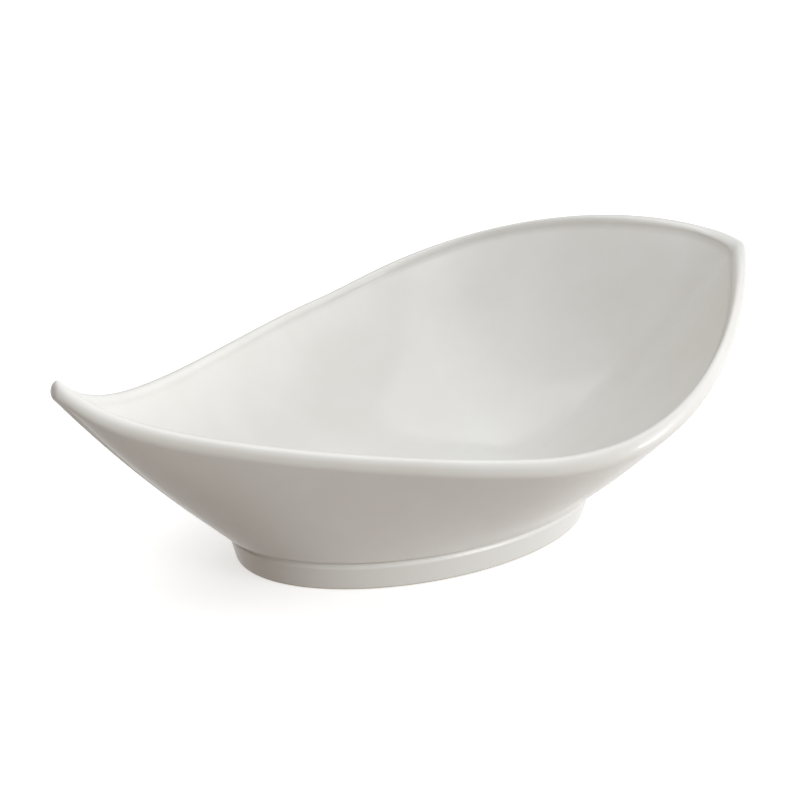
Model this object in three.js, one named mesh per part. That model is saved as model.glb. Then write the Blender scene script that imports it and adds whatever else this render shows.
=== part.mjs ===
// A leaf-shaped porcelain serving bowl standing on a low oval foot ring. Millimetres, +Z up.
// The leaf lies along X: a narrow beak at -X and a blunt, wide corner at +X, both raised.
// Its two long sides are mirror images about the XZ plane, and Z is 0 at the table.
import * as THREE from 'three';

const degrees = THREE.MathUtils.degToRad;

// Plan of the lip, along its crest
const BEAK_X = -145.4;
const CORNER_X = 145.4;
const BEAK_HALF_ANGLE = degrees(29.5);
const CORNER_HALF_ANGLE = degrees(55);
const BEAK_ROUNDING = 0.6;
const CORNER_ROUNDING = 13.5;
const WIDEST_X = 37;
const HALF_WIDTH = 98.5;
const BEAK_PULL = 72;
const LONG_SIDE_PULL = 46.5;
const SHORT_SIDE_PULL = 44;
const CORNER_PULL = 47;
const BEAK_INNER_EASE = 0.75;
const CORNER_INNER_EASE = 3.5;

// Side view of the crest: the heights of its two ends and its waist, and how it leaves them
const BEAK_Z = 91.7;
const WAIST_Z = 65.2;
const CORNER_Z = 96.2;
const WAIST_X = 0;
const BEAK_FALL = degrees(46);
const CORNER_FALL = degrees(19);
const BEAK_FALL_PULL = 20.5;
const LONG_WAIST_PULL = 118;
const SHORT_WAIST_PULL = 58;
const CORNER_FALL_PULL = 39.5;

// Section of the lip: its crest sits a little inside the middle of the wall
const LIP_THICKNESS = 5.8;
const CREST_SHIFT = -0.6;
const LIP_OUTER_DROP = 4.2;
const LIP_INNER_DROP = 2.8;
const BEAK_OUTER_DROP = 4.6;
const BEAK_REACH = 10;
const LIP_UNDERCUT = degrees(30);
const CORNER_SWELL = 0.3;
const SWELL_REACH = 45;

// The oval where the wall leaves the foot, the ledge under it and the edge that stands on the table
const OVAL_X = -2;
const WALL_OVAL = { halfLength: 78.6, halfWidth: 50.6, z: 13.4 };
const LEDGE_OVAL = { halfLength: 76.3, halfWidth: 48.6, z: 10.6 };
const EDGE_OVAL = { halfLength: 73.3, halfWidth: 45.8, z: 0 };
const LEDGE_WIDTH = 0.8;
const FOOT_THICKNESS = 7;
const EDGE_ROUNDING = 1.2;
const JOINT_GAP = 0.3;

// Wall and floor
const WALL_BULGE = 0.045;
const FLOOR_THICKNESS = 5.5;
const FLAT_FLOOR_SHARE = 0.5;
const FLOOR_CURVE_SHARE = 0.93;
const STEEP_SHARE = 0.42;

// Mesh density
const TIP_ARC_STATIONS = 3;
const LONG_SIDE_STATIONS = 24;
const SHORT_SIDE_STATIONS = 18;
const FLOOR_ROWS = 3;
const WALL_ROWS = 14;
const LIP_QUARTER_ROWS = 4;
const RING_STATIONS = 96;
const RING_ARC_STEPS = 3;
const HALVING_STEPS = 40;

// The rounded end of a tip in plan, moved outwards by offset. The lip's inner edge is eased rounder too.
function tipArc(tipX, facing, halfAngle, rounding, innerEase, offset) {
  const pointX = tipX + facing * rounding * (1 / Math.sin(halfAngle) - 1);
  const movedPointX = pointX + facing * offset / Math.sin(halfAngle);
  const radius = rounding + (offset > 0 ? offset : -innerEase * offset);
  return { centreX: movedPointX - facing * radius / Math.sin(halfAngle), radius };
}

function roundArc(arc, startAngle, endAngle) {
  return new THREE.EllipseCurve(arc.centreX, 0, arc.radius, arc.radius, startAngle, endAngle, true);
}

function polar(centre, angle, distance) {
  return new THREE.Vector2(centre.x + distance * Math.cos(angle), centre.y + distance * Math.sin(angle));
}

// Half of the plan outline, beak to corner on the +Y side, at an offset outside the middle of the lip
function planHalf(offset) {
  const beak = tipArc(BEAK_X, -1, BEAK_HALF_ANGLE, BEAK_ROUNDING, BEAK_INNER_EASE, offset);
  const corner = tipArc(CORNER_X, 1, CORNER_HALF_ANGLE, CORNER_ROUNDING, CORNER_INNER_EASE, offset);
  const beakAngle = Math.PI / 2 + BEAK_HALF_ANGLE;
  const cornerAngle = Math.PI / 2 - CORNER_HALF_ANGLE;
  const beakArc = roundArc(beak, Math.PI, beakAngle);
  const cornerArc = roundArc(corner, cornerAngle, 0);
  const beakEnd = beakArc.getPoint(1);
  const cornerEnd = cornerArc.getPoint(0);
  const widest = new THREE.Vector2(WIDEST_X, HALF_WIDTH + offset);
  const longSide = new THREE.CubicBezierCurve(
    beakEnd,
    polar(beakEnd, BEAK_HALF_ANGLE, BEAK_PULL),
    polar(widest, Math.PI, LONG_SIDE_PULL),
    widest,
  );
  const shortSide = new THREE.CubicBezierCurve(
    widest,
    polar(widest, 0, SHORT_SIDE_PULL),
    polar(cornerEnd, Math.PI - CORNER_HALF_ANGLE, CORNER_PULL),
    cornerEnd,
  );
  return [
    ...beakArc.getPoints(TIP_ARC_STATIONS),
    ...longSide.getPoints(LONG_SIDE_STATIONS).slice(1),
    ...shortSide.getPoints(SHORT_SIDE_STATIONS).slice(1),
    ...cornerArc.getPoints(TIP_ARC_STATIONS).slice(1),
  ];
}

// Side view of the crest as X against Z, in two curves that meet level at the waist
const crestSide = [
  new THREE.CubicBezierCurve(
    new THREE.Vector2(BEAK_X, BEAK_Z),
    polar({ x: BEAK_X, y: BEAK_Z }, -BEAK_FALL, BEAK_FALL_PULL),
    new THREE.Vector2(WAIST_X - LONG_WAIST_PULL, WAIST_Z),
    new THREE.Vector2(WAIST_X, WAIST_Z),
  ),
  new THREE.CubicBezierCurve(
    new THREE.Vector2(WAIST_X, WAIST_Z),
    new THREE.Vector2(WAIST_X + SHORT_WAIST_PULL, WAIST_Z),
    polar({ x: CORNER_X, y: CORNER_Z }, Math.PI - CORNER_FALL, CORNER_FALL_PULL),
    new THREE.Vector2(CORNER_X, CORNER_Z),
  ),
];

// The crest's height at x, found by halving the stretch of the curve that holds x
function crestHeight(x) {
  const wanted = THREE.MathUtils.clamp(x, BEAK_X, CORNER_X);
  const curve = wanted < WAIST_X ? crestSide[0] : crestSide[1];
  let low = 0;
  let high = 1;
  for (let step = 0; step < HALVING_STEPS; step += 1) {
    const middle = (low + high) / 2;
    if (curve.getPoint(middle).x < wanted) {
      low = middle;
    } else {
      high = middle;
    }
  }
  return curve.getPoint(low).y;
}

// One row of the lip, from 0 where the outside of the wall ends, over the crest, to 1 at the inside.
// It starts a little under the widest point, so that the lip rolls smoothly into the wall, and its
// inner half swells towards the corner.
function lipRow(share, crest) {
  const outside = share < 0.5;
  const turn = outside ? THREE.MathUtils.lerp(-LIP_UNDERCUT, Math.PI / 2, 2 * share) : share * Math.PI;
  const reach = LIP_THICKNESS / 2 + (outside ? -CREST_SHIFT : CREST_SHIFT);
  const plan = planHalf(CREST_SHIFT + reach * Math.cos(turn));
  return plan.map((point, station) => {
    const nearBeak = Math.exp((BEAK_X - crest[station].x) / BEAK_REACH);
    const outerDrop = THREE.MathUtils.lerp(LIP_OUTER_DROP, BEAK_OUTER_DROP, nearBeak);
    const drop = (outside ? outerDrop : LIP_INNER_DROP) * (1 - Math.sin(turn));
    if (outside) {
      return new THREE.Vector3(point.x, point.y, crestHeight(crest[station].x) - drop);
    }
    const swell = 1 + CORNER_SWELL * Math.exp((crest[station].x - CORNER_X) / SWELL_REACH);
    const swollen = crest[station].clone().lerp(point, swell);
    return new THREE.Vector3(swollen.x, swollen.y, crestHeight(swollen.x) - drop);
  });
}

// A point of an oval at the angle that a crest station has once the plan is squeezed to a circle
function onOval(oval, angle, share, z) {
  const x = OVAL_X + oval.halfLength * share * Math.cos(angle);
  const y = oval.halfWidth * share * Math.sin(angle);
  return new THREE.Vector3(x, y, z);
}

// Everything that one upright slice of the bowl needs, for each station of half the rim
function makeSlices() {
  const crest = planHalf(0);
  const lipSteps = 2 * LIP_QUARTER_ROWS;
  const shares = Array.from({ length: lipSteps + 1 }, (unused, row) => row / lipSteps);
  const lipRows = shares.map((share) => lipRow(share, crest));
  return crest.map((point, station) => {
    const angle = Math.atan2(point.y / WALL_OVAL.halfWidth, (point.x - OVAL_X) / WALL_OVAL.halfLength);
    const lip = lipRows.map((row) => row[station]);
    return { lip, outside: outsideWall(angle, lip[0]), inside: insideWall(angle, lip.at(-1)), angle };
  });
}

// The outside of the wall: a slightly bellied line from the oval up to the lip
function outsideWall(angle, top) {
  const base = onOval(WALL_OVAL, angle, 1, WALL_OVAL.z);
  const rise = top.clone().sub(base);
  const out = 0.5 + WALL_BULGE;
  const belly = base.clone().add(new THREE.Vector3(rise.x * out, rise.y * out, rise.z * (1 - out)));
  return new THREE.QuadraticBezierCurve3(base, belly, top);
}

// The inside of the wall: it leaves the flat floor level and steepens to the lip
function insideWall(angle, top) {
  const floorZ = WALL_OVAL.z + FLOOR_THICKNESS;
  const floorEdge = onOval(WALL_OVAL, angle, FLAT_FLOOR_SHARE, floorZ);
  const turn = onOval(WALL_OVAL, angle, FLOOR_CURVE_SHARE, floorZ);
  const steep = top.clone().lerp(turn, STEEP_SHARE);
  return new THREE.CubicBezierCurve3(floorEdge, turn, steep, top);
}

// The points up one slice, from the middle of the underside round the lip to the middle of the floor
function slicePoints(slice) {
  const rise = Array.from({ length: WALL_ROWS - 1 }, (unused, row) => (row + 1) / WALL_ROWS);
  const under = Array.from({ length: FLOOR_ROWS + 1 }, (unused, row) => row / FLOOR_ROWS);
  const floorZ = WALL_OVAL.z + FLOOR_THICKNESS;
  return [
    ...under.map((share) => onOval(WALL_OVAL, slice.angle, share, WALL_OVAL.z)),
    ...rise.map((share) => slice.outside.getPoint(share)),
    ...slice.lip,
    ...rise.toReversed().map((share) => slice.inside.getPoint(share)),
    ...under.toReversed().map((share) => onOval(WALL_OVAL, slice.angle, share * FLAT_FLOOR_SHARE, floorZ)),
  ];
}

// A round disc is turned with one row for each point of a slice, then pulled into the leaf
function bowlBody() {
  const half = makeSlices().map(slicePoints);
  const rows = half[0].length;
  const turned = Array.from({ length: rows }, (unused, row) => {
    const angle = Math.PI * row / (rows - 1);
    return new THREE.Vector2(Math.sin(angle), -Math.cos(angle));
  });
  turned[0].x = 0;
  turned[rows - 1].x = 0;
  const last = half.length - 1;
  const geometry = new THREE.LatheGeometry(turned, 2 * last);
  const position = geometry.getAttribute('position');
  for (let vertex = 0; vertex < position.count; vertex += 1) {
    const station = Math.floor(vertex / rows);
    const mirrored = station > last;
    const point = half[mirrored ? 2 * last - station : station][vertex % rows];
    position.setXYZ(vertex, point.x, mirrored ? point.y : -point.y, point.z);
  }
  return geometry;
}

// Section of the foot ring as distance outside the oval at its edge, against height
function ringSection() {
  const top = WALL_OVAL.z - JOINT_GAP;
  const taper = LEDGE_OVAL.halfLength - EDGE_OVAL.halfLength;
  const inner = -FOOT_THICKNESS;
  const path = new THREE.Path();
  path.moveTo(inner + EDGE_ROUNDING, 0);
  path.lineTo(-EDGE_ROUNDING, 0);
  path.quadraticCurveTo(0, 0, 0, EDGE_ROUNDING);
  path.lineTo(taper, LEDGE_OVAL.z);
  path.lineTo(taper - LEDGE_WIDTH, LEDGE_OVAL.z + LEDGE_WIDTH);
  path.lineTo(taper - LEDGE_WIDTH, top);
  path.lineTo(inner, top);
  path.lineTo(inner, EDGE_ROUNDING);
  path.quadraticCurveTo(inner, 0, inner + EDGE_ROUNDING, 0);
  return path.getPoints(RING_ARC_STEPS);
}

// The ring is turned round, then each point is set off square from the oval
function footRing() {
  const section = ringSection();
  const centre = 2 * FOOT_THICKNESS;
  const turned = section.map((point) => new THREE.Vector2(centre + point.x, point.y));
  const geometry = new THREE.LatheGeometry(turned, RING_STATIONS);
  const position = geometry.getAttribute('position');
  for (let vertex = 0; vertex < position.count; vertex += 1) {
    const angle = 2 * Math.PI * Math.floor(vertex / section.length) / RING_STATIONS;
    const point = section[vertex % section.length];
    const onEdge = onOval(EDGE_OVAL, angle, 1, point.y);
    const square = new THREE.Vector3(
      Math.cos(angle) * EDGE_OVAL.halfWidth,
      Math.sin(angle) * EDGE_OVAL.halfLength,
      0,
    ).normalize();
    onEdge.addScaledVector(square, point.x);
    position.setXYZ(vertex, onEdge.x, onEdge.y, onEdge.z);
  }
  return geometry;
}

function addPiece(group, name, geometry, color, roughness) {
  geometry.deleteAttribute('normal');
  geometry.computeVertexNormals();
  const material = new THREE.MeshStandardMaterial({ color, roughness, metalness: 0 });
  const mesh = new THREE.Mesh(geometry, material);
  mesh.name = name;
  group.add(mesh);
}

const bowl = new THREE.Group();
addPiece(bowl, 'bowl_body', bowlBody(), 0xe9e6e0, 0.15);
addPiece(bowl, 'foot_ring', footRing(), 0xe4e1db, 0.25);

export default bowl;
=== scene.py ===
"""A leaf-shaped porcelain serving bowl on a low oval foot ring, in a plain pale studio."""

import logging
import math
from dataclasses import dataclass, field
from enum import Enum
from typing import Any, Sequence

import bmesh
import bpy
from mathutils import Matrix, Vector


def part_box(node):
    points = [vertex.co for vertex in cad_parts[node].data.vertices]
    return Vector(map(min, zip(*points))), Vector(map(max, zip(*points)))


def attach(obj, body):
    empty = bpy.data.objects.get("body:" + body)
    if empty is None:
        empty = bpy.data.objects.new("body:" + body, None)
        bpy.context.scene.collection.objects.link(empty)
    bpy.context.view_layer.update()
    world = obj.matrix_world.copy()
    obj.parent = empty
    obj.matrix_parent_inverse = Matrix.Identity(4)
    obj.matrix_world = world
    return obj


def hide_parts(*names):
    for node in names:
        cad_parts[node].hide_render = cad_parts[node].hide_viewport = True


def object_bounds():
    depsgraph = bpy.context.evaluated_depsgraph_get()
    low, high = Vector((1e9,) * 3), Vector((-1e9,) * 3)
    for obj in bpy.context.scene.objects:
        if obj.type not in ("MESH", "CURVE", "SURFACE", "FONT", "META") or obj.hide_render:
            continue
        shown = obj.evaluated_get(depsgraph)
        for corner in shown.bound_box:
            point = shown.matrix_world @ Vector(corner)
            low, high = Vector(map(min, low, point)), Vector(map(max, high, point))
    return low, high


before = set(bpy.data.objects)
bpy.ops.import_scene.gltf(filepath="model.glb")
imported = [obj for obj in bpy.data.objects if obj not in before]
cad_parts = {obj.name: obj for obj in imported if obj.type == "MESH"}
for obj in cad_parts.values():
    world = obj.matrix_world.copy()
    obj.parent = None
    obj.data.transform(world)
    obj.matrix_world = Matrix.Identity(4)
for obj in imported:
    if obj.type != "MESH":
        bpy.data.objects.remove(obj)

MM = 0.001
ROOT_BODY = "root"
CAD_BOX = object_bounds()
SEAM_TOLERANCE = 1e-5  # In the units of the section that is spun.

logging.basicConfig(level=logging.INFO, format="%(message)s")
log = logging.getLogger("serving_bowl")


class Tip(Enum):
    """The two raised ends of the bowl, by the way that they point along X."""

    BEAK = -1
    CORNER = 1


def linear_colour(hex_colour: str) -> tuple[float, float, float, float]:
    """Turns an sRGB hex colour into the linear colour that shaders and lights take.

    Args:
        hex_colour: Six hex digits after a hash, such as "#f2efe9".

    Returns:
        Linear red, green and blue, with an alpha of 1.
    """
    digits = hex_colour.lstrip("#")
    channels = [int(digits[start:start + 2], 16) / 255 for start in (0, 2, 4)]
    linear = [c / 12.92 if c <= 0.04045 else ((c + 0.055) / 1.055) ** 2.4 for c in channels]
    return (linear[0], linear[1], linear[2], 1.0)


def per_metre(millimetres: float) -> float:
    """Gives the texture scale that repeats once in a real size.

    Args:
        millimetres: The real size, in millimetres.

    Returns:
        The scale, in repeats a metre.
    """
    return 1 / (millimetres * MM)


def add_node(
    tree: bpy.types.NodeTree,
    kind: str,
    settings: dict[str, Any] | None = None,
    links: dict[str, bpy.types.NodeSocket] | None = None,
    stops: Sequence[tuple[float, str]] = (),
) -> bpy.types.Node:
    """Adds a node with its settings and links.

    Args:
        tree: The material's node tree.
        kind: The node's type name.
        settings: Values by the name of an input, or else of an attribute.
        links: Output sockets by the name of the input that each one drives.
        stops: Positions and hex colours of a colour ramp.

    Returns:
        The new node.
    """
    node = tree.nodes.new(kind)
    for name, value in (settings or {}).items():
        if name in node.inputs:
            node.inputs[name].default_value = value
        else:
            setattr(node, name, value)
    for name, source in (links or {}).items():
        tree.links.new(source, node.inputs[name])
    for index, (position, colour) in enumerate(stops):
        elements = node.color_ramp.elements
        stop = elements[index] if index < len(elements) else elements.new(position)
        stop.position = position
        stop.color = linear_colour(colour)
    return node


def bezier(points: Sequence[Vector], share: float) -> Vector:
    """Gives the point of a Bezier curve at a share of its way.

    Args:
        points: The curve's control points, first to last.
        share: 0 at the first point, 1 at the last.

    Returns:
        The point on the curve.
    """
    row = list(points)
    while len(row) > 1:
        row = [a.lerp(b, share) for a, b in zip(row, row[1:])]
    return row[0]


def polar(centre: Vector, angle: float, distance: float) -> Vector:
    """Gives the point at a distance from a centre, in the direction of an angle.

    Args:
        centre: The point to start from, in a plane.
        angle: The direction, in radians.
        distance: How far to go.

    Returns:
        The point in the same plane.
    """
    return centre + Vector((math.cos(angle), math.sin(angle))) * distance


def new_piece(name: str, mesh_builder: bmesh.types.BMesh) -> bpy.types.Object:
    """Turns a finished bmesh into a smooth object at the origin.

    Args:
        name: The object's name.
        mesh_builder: The closed mesh, freed here.

    Returns:
        The object, linked to the scene.
    """
    bmesh.ops.recalc_face_normals(mesh_builder, faces=mesh_builder.faces)
    for face in mesh_builder.faces:
        face.smooth = True
    mesh = bpy.data.meshes.new(name)
    mesh_builder.to_mesh(mesh)
    mesh_builder.free()
    piece = bpy.data.objects.new(name, mesh)
    bpy.context.scene.collection.objects.link(piece)
    return piece


def spin_section(section: Sequence[Vector], steps: int, closed: bool) -> bmesh.types.BMesh:
    """Spins a section a full turn round the Z axis.

    Args:
        section: Points in the XZ plane, in order.
        steps: Number of stations round the turn.
        closed: Whether the section is a loop; if not, it starts and ends on the axis.

    Returns:
        The spun mesh, with its seam and poles closed.
    """
    builder = bmesh.new()
    verts = [builder.verts.new(point) for point in section]
    pairs = list(zip(verts, verts[1:]))
    if closed:
        pairs.append((verts[-1], verts[0]))
    edges = [builder.edges.new(pair) for pair in pairs]
    bmesh.ops.spin(
        builder,
        geom=verts + edges,
        axis=(0, 0, 1),
        cent=(0, 0, 0),
        angle=2 * math.pi,
        steps=steps,
        use_merge=True,
    )
    bmesh.ops.remove_doubles(builder, verts=builder.verts, dist=SEAM_TOLERANCE)
    return builder


@dataclass(frozen=True)
class GlazedPorcelain:
    """White porcelain under a clear glaze, which can be wiped off below a height.

    The glaze is smooth but not optically flat: it has a soft ripple a few millimetres across,
    and the white under it varies a little in warmth where the glaze pooled.
    """

    name: str = "glazed_porcelain"
    thin_glaze: str = "#eae9e5"
    pooled_glaze: str = "#e5e2dc"
    thin_stop: float = 0.35
    pooled_stop: float = 0.65
    pooling_mm: float = 60
    pooling_detail: float = 7.0
    pooling_breakup: float = 0.6
    ripple_mm: float = 7
    ripple_detail: float = 1.0
    ripple_height_mm: float = 0.03
    ripple_strength: float = 0.6
    pinhole_mm: float = 1.1
    pinhole_detail: float = 2.0
    pinhole_depth_mm: float = 0.01
    pinhole_strength: float = 0.15
    roughness: float = 0.4
    roughness_change: float = 0.05
    ior: float = 1.5
    coat: float = 0.5
    coat_roughness: float = 0.12
    bare_below_mm: float | None = None
    bare_fade_down_mm: float = 0.3
    bare_fade_up_mm: float = 0.1
    waver_mm: float = 9
    waver_drop_mm: float = 0.4
    bare_body: str = "#e2dcd2"
    bare_roughness: float = 0.78

    def material(self) -> bpy.types.Material:
        """Builds the glaze's node material and returns it."""
        material = bpy.data.materials.new(self.name)
        material.use_nodes = True
        tree = material.node_tree
        tree.nodes.clear()
        place = add_node(tree, "ShaderNodeTexCoord").outputs["Object"]
        colour, roughness = self._surface(tree, place)
        shader = add_node(
            tree,
            "ShaderNodeBsdfPrincipled",
            {
                "IOR": self.ior,
                "Coat Weight": self.coat,
                "Coat Roughness": self.coat_roughness,
                "Coat IOR": self.ior,
            },
            {"Base Color": colour, "Roughness": roughness, "Normal": self._relief(tree, place)},
        )
        add_node(tree, "ShaderNodeOutputMaterial", links={"Surface": shader.outputs[0]})
        return material

    def _surface(
        self, tree: bpy.types.NodeTree, place: bpy.types.NodeSocket
    ) -> tuple[bpy.types.NodeSocket, bpy.types.NodeSocket]:
        """Gives the sockets that carry the glaze's colour and roughness.

        Args:
            tree: The material's node tree.
            place: Object coordinates.

        Returns:
            The colour socket and the roughness socket.
        """
        if self.bare_below_mm is None:
            share = self._pooled_share(tree, place)
            stops = ((self.thin_stop, self.thin_glaze), (self.pooled_stop, self.pooled_glaze))
            low = self.roughness - self.roughness_change
            high = self.roughness + self.roughness_change
        else:
            share = self._glazed_share(tree, place)
            stops = ((0.0, self.bare_body), (1.0, self.thin_glaze))
            low, high = self.bare_roughness, self.roughness
        colour = add_node(tree, "ShaderNodeValToRGB", links={"Fac": share}, stops=stops)
        rough = add_node(
            tree, "ShaderNodeMapRange", {"To Min": low, "To Max": high}, {"Value": share}
        )
        return colour.outputs[0], rough.outputs[0]

    def _pooled_share(
        self, tree: bpy.types.NodeTree, place: bpy.types.NodeSocket
    ) -> bpy.types.NodeSocket:
        """Gives low values where the glaze is thin and high ones where it pooled.

        Args:
            tree: The material's node tree.
            place: Object coordinates.

        Returns:
            The socket.
        """
        return add_node(
            tree,
            "ShaderNodeTexNoise",
            {
                "Scale": per_metre(self.pooling_mm),
                "Detail": self.pooling_detail,
                "Roughness": self.pooling_breakup,
            },
            {"Vector": place},
        ).outputs[0]

    def _glazed_share(
        self, tree: bpy.types.NodeTree, place: bpy.types.NodeSocket
    ) -> bpy.types.NodeSocket:
        """Gives 0 on the wiped edge that stands on the table and 1 on the glaze above it.

        Args:
            tree: The material's node tree.
            place: Object coordinates.

        Returns:
            The socket, with a slightly wavy wiped line.
        """
        height = add_node(tree, "ShaderNodeSeparateXYZ", links={"Vector": place}).outputs["Z"]
        waver = add_node(
            tree, "ShaderNodeTexNoise", {"Scale": per_metre(self.waver_mm)}, {"Vector": place}
        ).outputs[0]
        wavy = add_node(
            tree, "ShaderNodeMath", {"operation": "MULTIPLY_ADD"}, {"Value": waver}
        )
        wavy.inputs[1].default_value = -self.waver_drop_mm * MM
        tree.links.new(height, wavy.inputs[2])
        edge = self.bare_below_mm * MM
        return add_node(
            tree,
            "ShaderNodeMapRange",
            {
                "From Min": edge - self.bare_fade_down_mm * MM,
                "From Max": edge + self.bare_fade_up_mm * MM,
            },
            {"Value": wavy.outputs[0]},
        ).outputs[0]

    def _relief(
        self, tree: bpy.types.NodeTree, place: bpy.types.NodeSocket
    ) -> bpy.types.NodeSocket:
        """Gives the normal of a surface with the glaze's ripple and its fine pinholes.

        Args:
            tree: The material's node tree.
            place: Object coordinates.

        Returns:
            The normal socket.
        """
        ripple = add_node(
            tree,
            "ShaderNodeTexNoise",
            {"Scale": per_metre(self.ripple_mm), "Detail": self.ripple_detail},
            {"Vector": place},
        ).outputs[0]
        rippled = add_node(
            tree,
            "ShaderNodeBump",
            {"Strength": self.ripple_strength, "Distance": self.ripple_height_mm * MM},
            {"Height": ripple},
        ).outputs[0]
        pinholes = add_node(
            tree,
            "ShaderNodeTexNoise",
            {"Scale": per_metre(self.pinhole_mm), "Detail": self.pinhole_detail},
            {"Vector": place},
        ).outputs[0]
        return add_node(
            tree,
            "ShaderNodeBump",
            {"Strength": self.pinhole_strength, "Distance": self.pinhole_depth_mm * MM},
            {"Height": pinholes, "Normal": rippled},
        ).outputs[0]


@dataclass(frozen=True)
class Oval:
    """A level oval of the foot or of the wall's base, in millimetres."""

    half_length: float
    half_width: float
    centre_x: float

    def point(self, angle: float, share: float, z: float) -> Vector:
        """Gives a point of the oval, or of a smaller copy of it.

        Args:
            angle: Where round the oval, in radians.
            share: The copy's size, 1 for the oval itself.
            z: The point's height.

        Returns:
            The point.
        """
        x = self.centre_x + self.half_length * share * math.cos(angle)
        return Vector((x, self.half_width * share * math.sin(angle), z))


@dataclass(frozen=True)
class LipPlan:
    """The lip's crest seen from above: two rounded tips joined by two curves a side."""

    beak_x: float
    corner_x: float
    half_width: float
    beak_half_angle: float = math.radians(29.5)
    corner_half_angle: float = math.radians(55)
    beak_rounding: float = 0.6
    corner_rounding: float = 13.5
    widest_x: float = 37
    beak_pull: float = 72
    long_side_pull: float = 46.5
    short_side_pull: float = 44
    corner_pull: float = 47
    beak_inner_ease: float = 0.75
    corner_inner_ease: float = 3.5
    arc_stations: int = 6
    long_stations: int = 66
    short_stations: int = 48

    def tip_arc(self, tip: Tip, offset: float) -> tuple[Vector, float]:
        """Gives the rounded end of a tip, moved outwards by an offset.

        Args:
            tip: Which end of the bowl.
            offset: How far outside the crest, in millimetres.

        Returns:
            The arc's centre and its radius.
        """
        beak = tip is Tip.BEAK
        tip_x = self.beak_x if beak else self.corner_x
        slope = math.sin(self.beak_half_angle if beak else self.corner_half_angle)
        rounding = self.beak_rounding if beak else self.corner_rounding
        ease = self.beak_inner_ease if beak else self.corner_inner_ease
        point_x = tip_x + tip.value * (rounding * (1 / slope - 1) + offset / slope)
        radius = rounding + (offset if offset > 0 else -ease * offset)
        return Vector((point_x - tip.value * radius / slope, 0)), radius

    def half(self, offset: float) -> list[Vector]:
        """Draws half of the outline, from the beak to the corner on the +Y side.

        Args:
            offset: How far outside the crest, in millimetres.

        Returns:
            One point for each station.
        """
        beak_centre, beak_radius = self.tip_arc(Tip.BEAK, offset)
        corner_centre, corner_radius = self.tip_arc(Tip.CORNER, offset)
        right_angle = math.pi / 2
        steps = [step / self.arc_stations for step in range(self.arc_stations + 1)]
        beak_sweep = right_angle - self.beak_half_angle
        corner_sweep = right_angle - self.corner_half_angle
        beak = [polar(beak_centre, math.pi - beak_sweep * step, beak_radius) for step in steps]
        corner = [polar(corner_centre, corner_sweep * (1 - step), corner_radius) for step in steps]
        widest = Vector((self.widest_x, self.half_width + offset))
        long_side = (
            beak[-1],
            polar(beak[-1], self.beak_half_angle, self.beak_pull),
            widest - Vector((self.long_side_pull, 0)),
            widest,
        )
        short_side = (
            widest,
            widest + Vector((self.short_side_pull, 0)),
            polar(corner[0], math.pi - self.corner_half_angle, self.corner_pull),
            corner[0],
        )
        points = list(beak)
        sides = ((long_side, self.long_stations), (short_side, self.short_stations))
        for curve, stations in sides:
            points += [bezier(curve, step / stations) for step in range(1, stations + 1)]
        return points + corner[1:]


@dataclass(frozen=True)
class CrestSide:
    """The lip's crest seen from the side: high at both tips, with a level waist between."""

    beak_x: float
    corner_x: float
    beak_z: float = 91.7
    waist_z: float = 65.2
    corner_z: float = 96.2
    waist_x: float = 0
    beak_fall: float = math.radians(46)
    corner_fall: float = math.radians(19)
    beak_fall_pull: float = 20.5
    long_waist_pull: float = 118
    short_waist_pull: float = 58
    corner_fall_pull: float = 39.5
    halving_steps: int = 30

    def height(self, x: float) -> float:
        """Finds the crest's height by halving the stretch of the curve that holds x.

        Args:
            x: Where along the bowl, moved to the nearer tip if it is past one.

        Returns:
            The crest's height there.
        """
        wanted = min(max(x, self.beak_x), self.corner_x)
        waist = Vector((self.waist_x, self.waist_z))
        beak = Vector((self.beak_x, self.beak_z))
        corner = Vector((self.corner_x, self.corner_z))
        if wanted < self.waist_x:
            leaving = polar(beak, -self.beak_fall, self.beak_fall_pull)
            curve = (beak, leaving, waist - Vector((self.long_waist_pull, 0)), waist)
        else:
            reaching = polar(corner, math.pi - self.corner_fall, self.corner_fall_pull)
            curve = (waist, waist + Vector((self.short_waist_pull, 0)), reaching, corner)
        low, high = 0.0, 1.0
        for _ in range(self.halving_steps):
            middle = (low + high) / 2
            if bezier(curve, middle).x < wanted:
                low = middle
            else:
                high = middle
        return bezier(curve, low).y


@dataclass
class CastPiece:
    """A glazed piece that takes the place of one CAD node. Its sizes are in millimetres."""

    finish: GlazedPorcelain
    node: str
    slot: str

    def build(self) -> bpy.types.Object:
        """Makes the piece's closed mesh and returns its object."""
        raise NotImplementedError

    def dress(self, piece: bpy.types.Object) -> None:
        """Gives a piece its glaze and its place in the frame.

        Args:
            piece: The object that build returned.
        """
        piece.data.materials.append(self.finish.material())
        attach(piece, ROOT_BODY)
        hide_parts(self.node)


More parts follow.
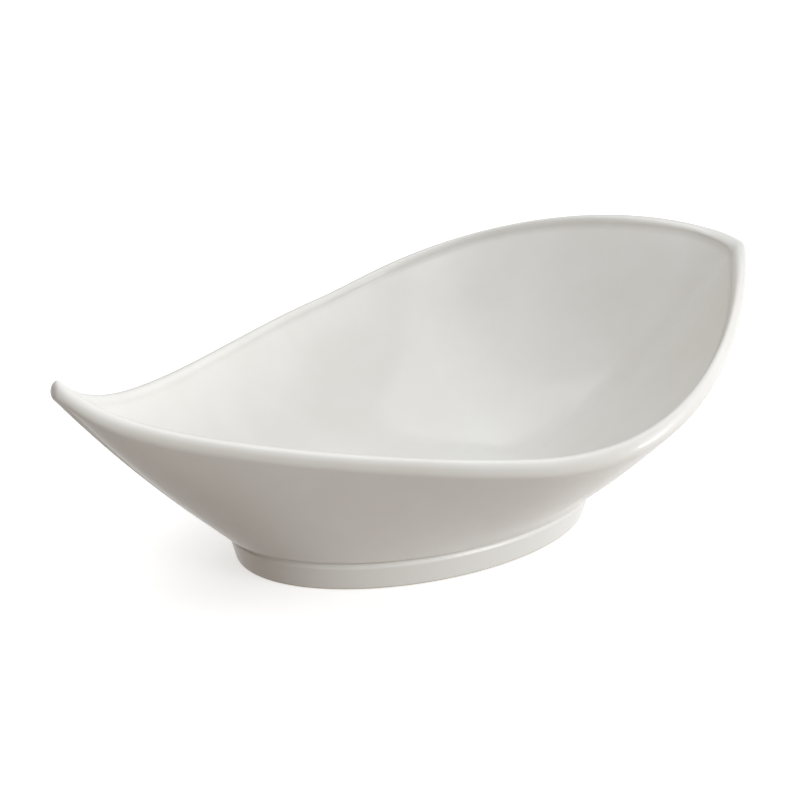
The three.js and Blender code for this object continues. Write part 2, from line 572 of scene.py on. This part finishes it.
@dataclass
class BowlBody(CastPiece):
    """The leaf-shaped shell: floor, bellied wall and rounded lip, in one closed casting."""

    node: str = "bowl_body"
    slot: str = "white_glaze"
    lip_thickness: float = 5.8
    crest_shift: float = -0.6
    outer_drop: float = 4.2
    inner_drop: float = 2.8
    beak_outer_drop: float = 4.6
    beak_reach: float = 10
    lip_undercut: float = math.radians(30)
    corner_swell: float = 0.3
    swell_reach: float = 45
    wall_half_length: float = 78.6
    wall_half_width: float = 50.6
    wall_bulge: float = 0.045
    floor_thickness: float = 5.5
    flat_floor_share: float = 0.5
    floor_curve_share: float = 0.93
    steep_share: float = 0.42
    floor_rows: int = 8
    wall_rows: int = 40
    lip_quarter_rows: int = 12
    plan: LipPlan = field(init=False)
    side: CrestSide = field(init=False)
    oval: Oval = field(init=False)
    base_z: float = field(init=False)

    def __post_init__(self) -> None:
        """Takes the ends, the width and the base height from the frame."""
        low, high = (Vector(corner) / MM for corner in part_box(self.node))
        ring_low, ring_high = (Vector(corner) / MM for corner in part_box("foot_ring"))
        reach = self.lip_thickness / 2
        beak_x = low.x + reach
        corner_x = high.x - reach
        self.plan = LipPlan(beak_x, corner_x, high.y - reach)
        self.side = CrestSide(beak_x, corner_x)
        middle_x = (ring_low.x + ring_high.x) / 2
        self.oval = Oval(self.wall_half_length, self.wall_half_width, middle_x)
        self.base_z = low.z

    def lip_row(self, share: float, crest: list[Vector]) -> list[Vector]:
        """Places one row of the lip, one point for each station.

        Args:
            share: 0 where the outside of the wall ends, 0.5 on the crest, 1 at the inside.
            crest: The plan of the crest.

        Returns:
            The row's points, from the beak to the corner.
        """
        outside = share < 0.5
        turn = share * math.pi
        if outside:
            turn = 2 * share * (math.pi / 2 + self.lip_undercut) - self.lip_undercut
        reach = self.lip_thickness / 2 + (-self.crest_shift if outside else self.crest_shift)
        outline = self.plan.half(self.crest_shift + reach * math.cos(turn))
        points = []
        for point, top in zip(outline, crest):
            near_beak = math.exp((self.plan.beak_x - top.x) / self.beak_reach)
            outer = self.outer_drop + (self.beak_outer_drop - self.outer_drop) * near_beak
            drop = (outer if outside else self.inner_drop) * (1 - math.sin(turn))
            place = point
            if not outside:
                near_corner = math.exp((top.x - self.plan.corner_x) / self.swell_reach)
                place = top.lerp(point, 1 + self.corner_swell * near_corner)
            height = self.side.height(top.x if outside else place.x)
            points.append(Vector((place.x, place.y, height - drop)))
        return points

    def slice(self, lip: list[Vector], angle: float) -> list[Vector]:
        """Places the points up one upright slice of the bowl.

        Args:
            lip: The slice's points over the lip, outside first.
            angle: The slice's angle on the oval where the wall leaves the foot.

        Returns:
            Points from the middle of the underside, round the lip, to the middle of the floor.
        """
        base = self.oval.point(angle, 1, self.base_z)
        rise = lip[0] - base
        out = 0.5 + self.wall_bulge
        belly = base + Vector((rise.x * out, rise.y * out, rise.z * (1 - out)))
        floor_z = self.base_z + self.floor_thickness
        floor_edge = self.oval.point(angle, self.flat_floor_share, floor_z)
        turn = self.oval.point(angle, self.floor_curve_share, floor_z)
        steep = lip[-1].lerp(turn, self.steep_share)
        shares = [row / self.wall_rows for row in range(1, self.wall_rows)]
        floors = [row / self.floor_rows for row in range(self.floor_rows + 1)]
        under = [self.oval.point(angle, share, self.base_z) for share in floors]
        outside = [bezier((base, belly, lip[0]), share) for share in shares]
        inside = [bezier((floor_edge, turn, steep, lip[-1]), share) for share in reversed(shares)]
        flat = self.flat_floor_share
        floor = [self.oval.point(angle, share * flat, floor_z) for share in reversed(floors)]
        return under + outside + lip + inside + floor

    def build(self) -> bpy.types.Object:
        """Spins a ball with a row for each point of a slice, and pulls it into the leaf."""
        crest = self.plan.half(0)
        lip_steps = 2 * self.lip_quarter_rows
        lip_rows = [self.lip_row(step / lip_steps, crest) for step in range(lip_steps + 1)]
        slices = []
        for station, top in enumerate(crest):
            oval = self.oval
            angle = math.atan2(top.y / oval.half_width, (top.x - oval.centre_x) / oval.half_length)
            slices.append(self.slice([row[station] for row in lip_rows], angle))
        last_row = len(slices[0]) - 1
        last_station = len(slices) - 1
        section = [
            Vector((math.sin(math.pi * row / last_row), 0, -math.cos(math.pi * row / last_row)))
            for row in range(last_row + 1)
        ]
        builder = spin_section(section, 2 * last_station, closed=False)
        for vert in builder.verts:
            station = round(abs(math.atan2(vert.co.y, vert.co.x)) / math.pi * last_station)
            row = round(math.acos(min(max(-vert.co.z, -1), 1)) / math.pi * last_row)
            point = slices[last_station - station][row]
            side = math.copysign(1, vert.co.y)
            vert.co = Vector((point.x, point.y * side, point.z)) * MM
        return new_piece("bowl_shell", builder)


@dataclass
class FootRing(CastPiece):
    """The low oval ring under the bowl, with a small ledge where the wall leaves it."""

    node: str = "foot_ring"
    slot: str = "foot_glaze"
    taper: float = 3
    ledge_z: float = 10.6
    thickness: float = 7
    edge_rounding: float = 1.4
    edge_flare: float = 0.3
    ledge_slope_in: float = 0.35
    ledge_slope_down: float = 1
    ledge_rounding: float = 0.6
    cove_gap: float = 0.5
    cove_reach: float = 1.9
    cove_steps: int = 8
    stations: int = 256
    edge: Oval = field(init=False)
    top_z: float = field(init=False)

    def __post_init__(self) -> None:
        """Takes the oval at the table and the top height from the frame."""
        low, high = (Vector(corner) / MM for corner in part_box(self.node))
        half_length = (high.x - low.x) / 2 - self.taper
        half_width = (high.y - low.y) / 2 - self.taper
        self.edge = Oval(half_length, half_width, (low.x + high.x) / 2)
        self.top_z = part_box("bowl_body")[0][2] / MM

    def section(self) -> list[Vector]:
        """Draws the ring's section: X is the distance outside the table oval, Z the height."""
        inner = -self.thickness
        round_by = self.edge_rounding
        shares = [step / self.cove_steps for step in range(self.cove_steps + 1)]
        outer_round = (
            Vector((-round_by, 0, 0)),
            Vector((0, 0, 0)),
            Vector((self.edge_flare, 0, round_by)),
        )
        ledge_end = Vector(
            (self.taper - self.ledge_rounding, 0, self.ledge_z + self.ledge_rounding)
        )
        ledge_round = (
            Vector((self.taper - self.ledge_slope_in, 0, self.ledge_z - self.ledge_slope_down)),
            Vector((self.taper, 0, self.ledge_z)),
            ledge_end,
        )
        cove = (
            ledge_end,
            Vector((ledge_end.x, 0, self.top_z - self.cove_gap)),
            Vector((self.taper + self.cove_reach - self.ledge_rounding, 0, self.top_z)),
        )
        inner_round = (
            Vector((inner, 0, round_by)),
            Vector((inner, 0, 0)),
            Vector((inner + round_by, 0, 0)),
        )
        points = [bezier(outer_round, share) for share in shares]
        points += [bezier(ledge_round, share) for share in shares]
        points += [bezier(cove, share) for share in shares[1:]]
        points.append(Vector((inner, 0, self.top_z)))
        return points + [bezier(inner_round, share) for share in shares]

    def build(self) -> bpy.types.Object:
        """Spins the section round, then sets each point off square from the table oval."""
        centre = 2 * self.thickness
        section = [point + Vector((centre, 0, 0)) for point in self.section()]
        builder = spin_section(section, self.stations, closed=True)
        for vert in builder.verts:
            angle = math.atan2(vert.co.y, vert.co.x)
            distance = math.hypot(vert.co.x, vert.co.y) - centre
            square = Vector((
                math.cos(angle) * self.edge.half_width,
                math.sin(angle) * self.edge.half_length,
                0,
            )).normalized()
            vert.co = (self.edge.point(angle, 1, vert.co.z) + square * distance) * MM
        return new_piece("foot_ring_cast", builder)


@dataclass(frozen=True)
class SoftLight:
    """A square soft box that hangs in the studio and looks at the bowl."""

    name: str
    place: tuple[float, float, float]
    side: float
    watts: float
    colour: str

    def build(self, aim: Vector) -> None:
        """Hangs the light at its place.

        Args:
            aim: The point it is turned towards.
        """
        light = bpy.data.lights.new(self.name, "AREA")
        light.size = self.side
        light.energy = self.watts
        light.color = linear_colour(self.colour)[:3]
        lamp = bpy.data.objects.new(self.name, light)
        lamp.location = self.place
        direction = aim - Vector(self.place)
        lamp.rotation_euler = direction.to_track_quat("-Z", "Y").to_euler()
        bpy.context.scene.collection.objects.link(lamp)


@dataclass
class Studio:
    """The plain pale floor, the soft light and the camera."""

    azimuth: float = math.radians(-28)
    elevation: float = math.radians(23.4)
    distance: float = 1.0
    lens_mm: float = 116.5
    aim_height: float = 0.05
    aim_right: float = -0.0067
    aim_up: float = 0.004
    floor_side: float = 12.0
    floor_colour: str = "#dededd"
    floor_roughness: float = 0.9
    floor_specular: float = 0.1
    floor_lift: float = 0.58
    floor_glow: str = "#ffffff"
    room_colours: tuple[tuple[float, str], ...] = (
        (0.15, "#6f5c4c"),
        (0.42, "#948474"),
        (0.62, "#cfd1d1"),
        (0.95, "#ffffff"),
    )
    room_strength: float = 0.8
    bright_side: tuple[float, float, float] = (0.55, -0.33, 0.77)
    lights: tuple[SoftLight, ...] = (
        SoftLight("key_softbox", (1.0, -1.5, 0.7), 1.0, 7.0, "#f3f7ff"),
        SoftLight("top_softbox", (-0.1, 0.35, 1.6), 1.3, 9.0, "#f6faff"),
        SoftLight("low_softbox", (0.72, -1.28, 0.15), 0.5, 8.0, "#fffefc"),
    )

    def build_floor(self) -> None:
        """Lays a large pale floor under the foot ring.

        It glows a little and throws no light on the bowl, so that it stays white and even.
        """
        builder = bmesh.new()
        bmesh.ops.create_grid(builder, x_segments=2, y_segments=2, size=self.floor_side / 2)
        floor = new_piece("studio_floor", builder)
        material = bpy.data.materials.new("matt_floor_paint")
        material.use_nodes = True
        shader = material.node_tree.nodes["Principled BSDF"]
        shader.inputs["Base Color"].default_value = linear_colour(self.floor_colour)
        shader.inputs["Roughness"].default_value = self.floor_roughness
        shader.inputs["Specular IOR Level"].default_value = self.floor_specular
        shader.inputs["Emission Color"].default_value = linear_colour(self.floor_glow)
        shader.inputs["Emission Strength"].default_value = self.floor_lift
        floor.data.materials.append(material)
        floor.visible_diffuse = False

    def build_light(self) -> None:
        """Lights the room: bright and cool above on one side, dim and warm below on the other."""
        world = bpy.data.worlds.new("pale_room")
        world.use_nodes = True
        tree = world.node_tree
        way = add_node(tree, "ShaderNodeTexCoord").outputs["Generated"]
        along = add_node(
            tree, "ShaderNodeVectorMath", {"operation": "DOT_PRODUCT"}, {"Vector": way}
        )
        along.inputs[1].default_value = self.bright_side
        share = add_node(
            tree,
            "ShaderNodeMapRange",
            {"From Min": -1.0, "From Max": 1.0},
            {"Value": along.outputs["Value"]},
        ).outputs[0]
        colour = add_node(
            tree, "ShaderNodeValToRGB", links={"Fac": share}, stops=self.room_colours
        ).outputs[0]
        room = tree.nodes["Background"]
        room.inputs["Strength"].default_value = self.room_strength
        tree.links.new(colour, room.inputs["Color"])
        bpy.context.scene.world = world
        for light in self.lights:
            light.build(Vector((0, 0, self.aim_height)))
        bpy.context.scene.view_settings.view_transform = "Standard"

    def build_camera(self) -> None:
        """Stands the camera in front of the bowl, a little above it and to its left."""
        level = math.cos(self.elevation)
        back = Vector((
            math.sin(self.azimuth) * level,
            -math.cos(self.azimuth) * level,
            math.sin(self.elevation),
        ))
        right = Vector((math.cos(self.azimuth), math.sin(self.azimuth), 0))
        up = back.cross(right)
        low, high = (Vector(corner) for corner in CAD_BOX)
        aim = (low + high) / 2
        aim.z = self.aim_height
        aim += right * self.aim_right + up * self.aim_up
        lens = bpy.data.cameras.new("studio_camera")
        lens.lens = self.lens_mm
        camera = bpy.data.objects.new("studio_camera", lens)
        camera.location = aim + back * self.distance
        camera.rotation_euler = back.to_track_quat("Z", "Y").to_euler()
        bpy.context.scene.collection.objects.link(camera)
        bpy.context.scene.camera = camera


def main() -> None:
    """Builds the studio and the bowl in order, and reports each piece."""
    studio = Studio()
    studio.build_camera()
    studio.build_floor()
    studio.build_light()
    glaze = GlazedPorcelain()
    foot_glaze = GlazedPorcelain(name="wiped_foot_glaze", bare_below_mm=0.9)
    for assembly in (BowlBody(glaze), FootRing(foot_glaze)):
        piece = assembly.build()
        assembly.dress(piece)
        log.info("%s: %d faces", piece.name, len(piece.data.polygons))


if __name__ == "__main__":
    main()
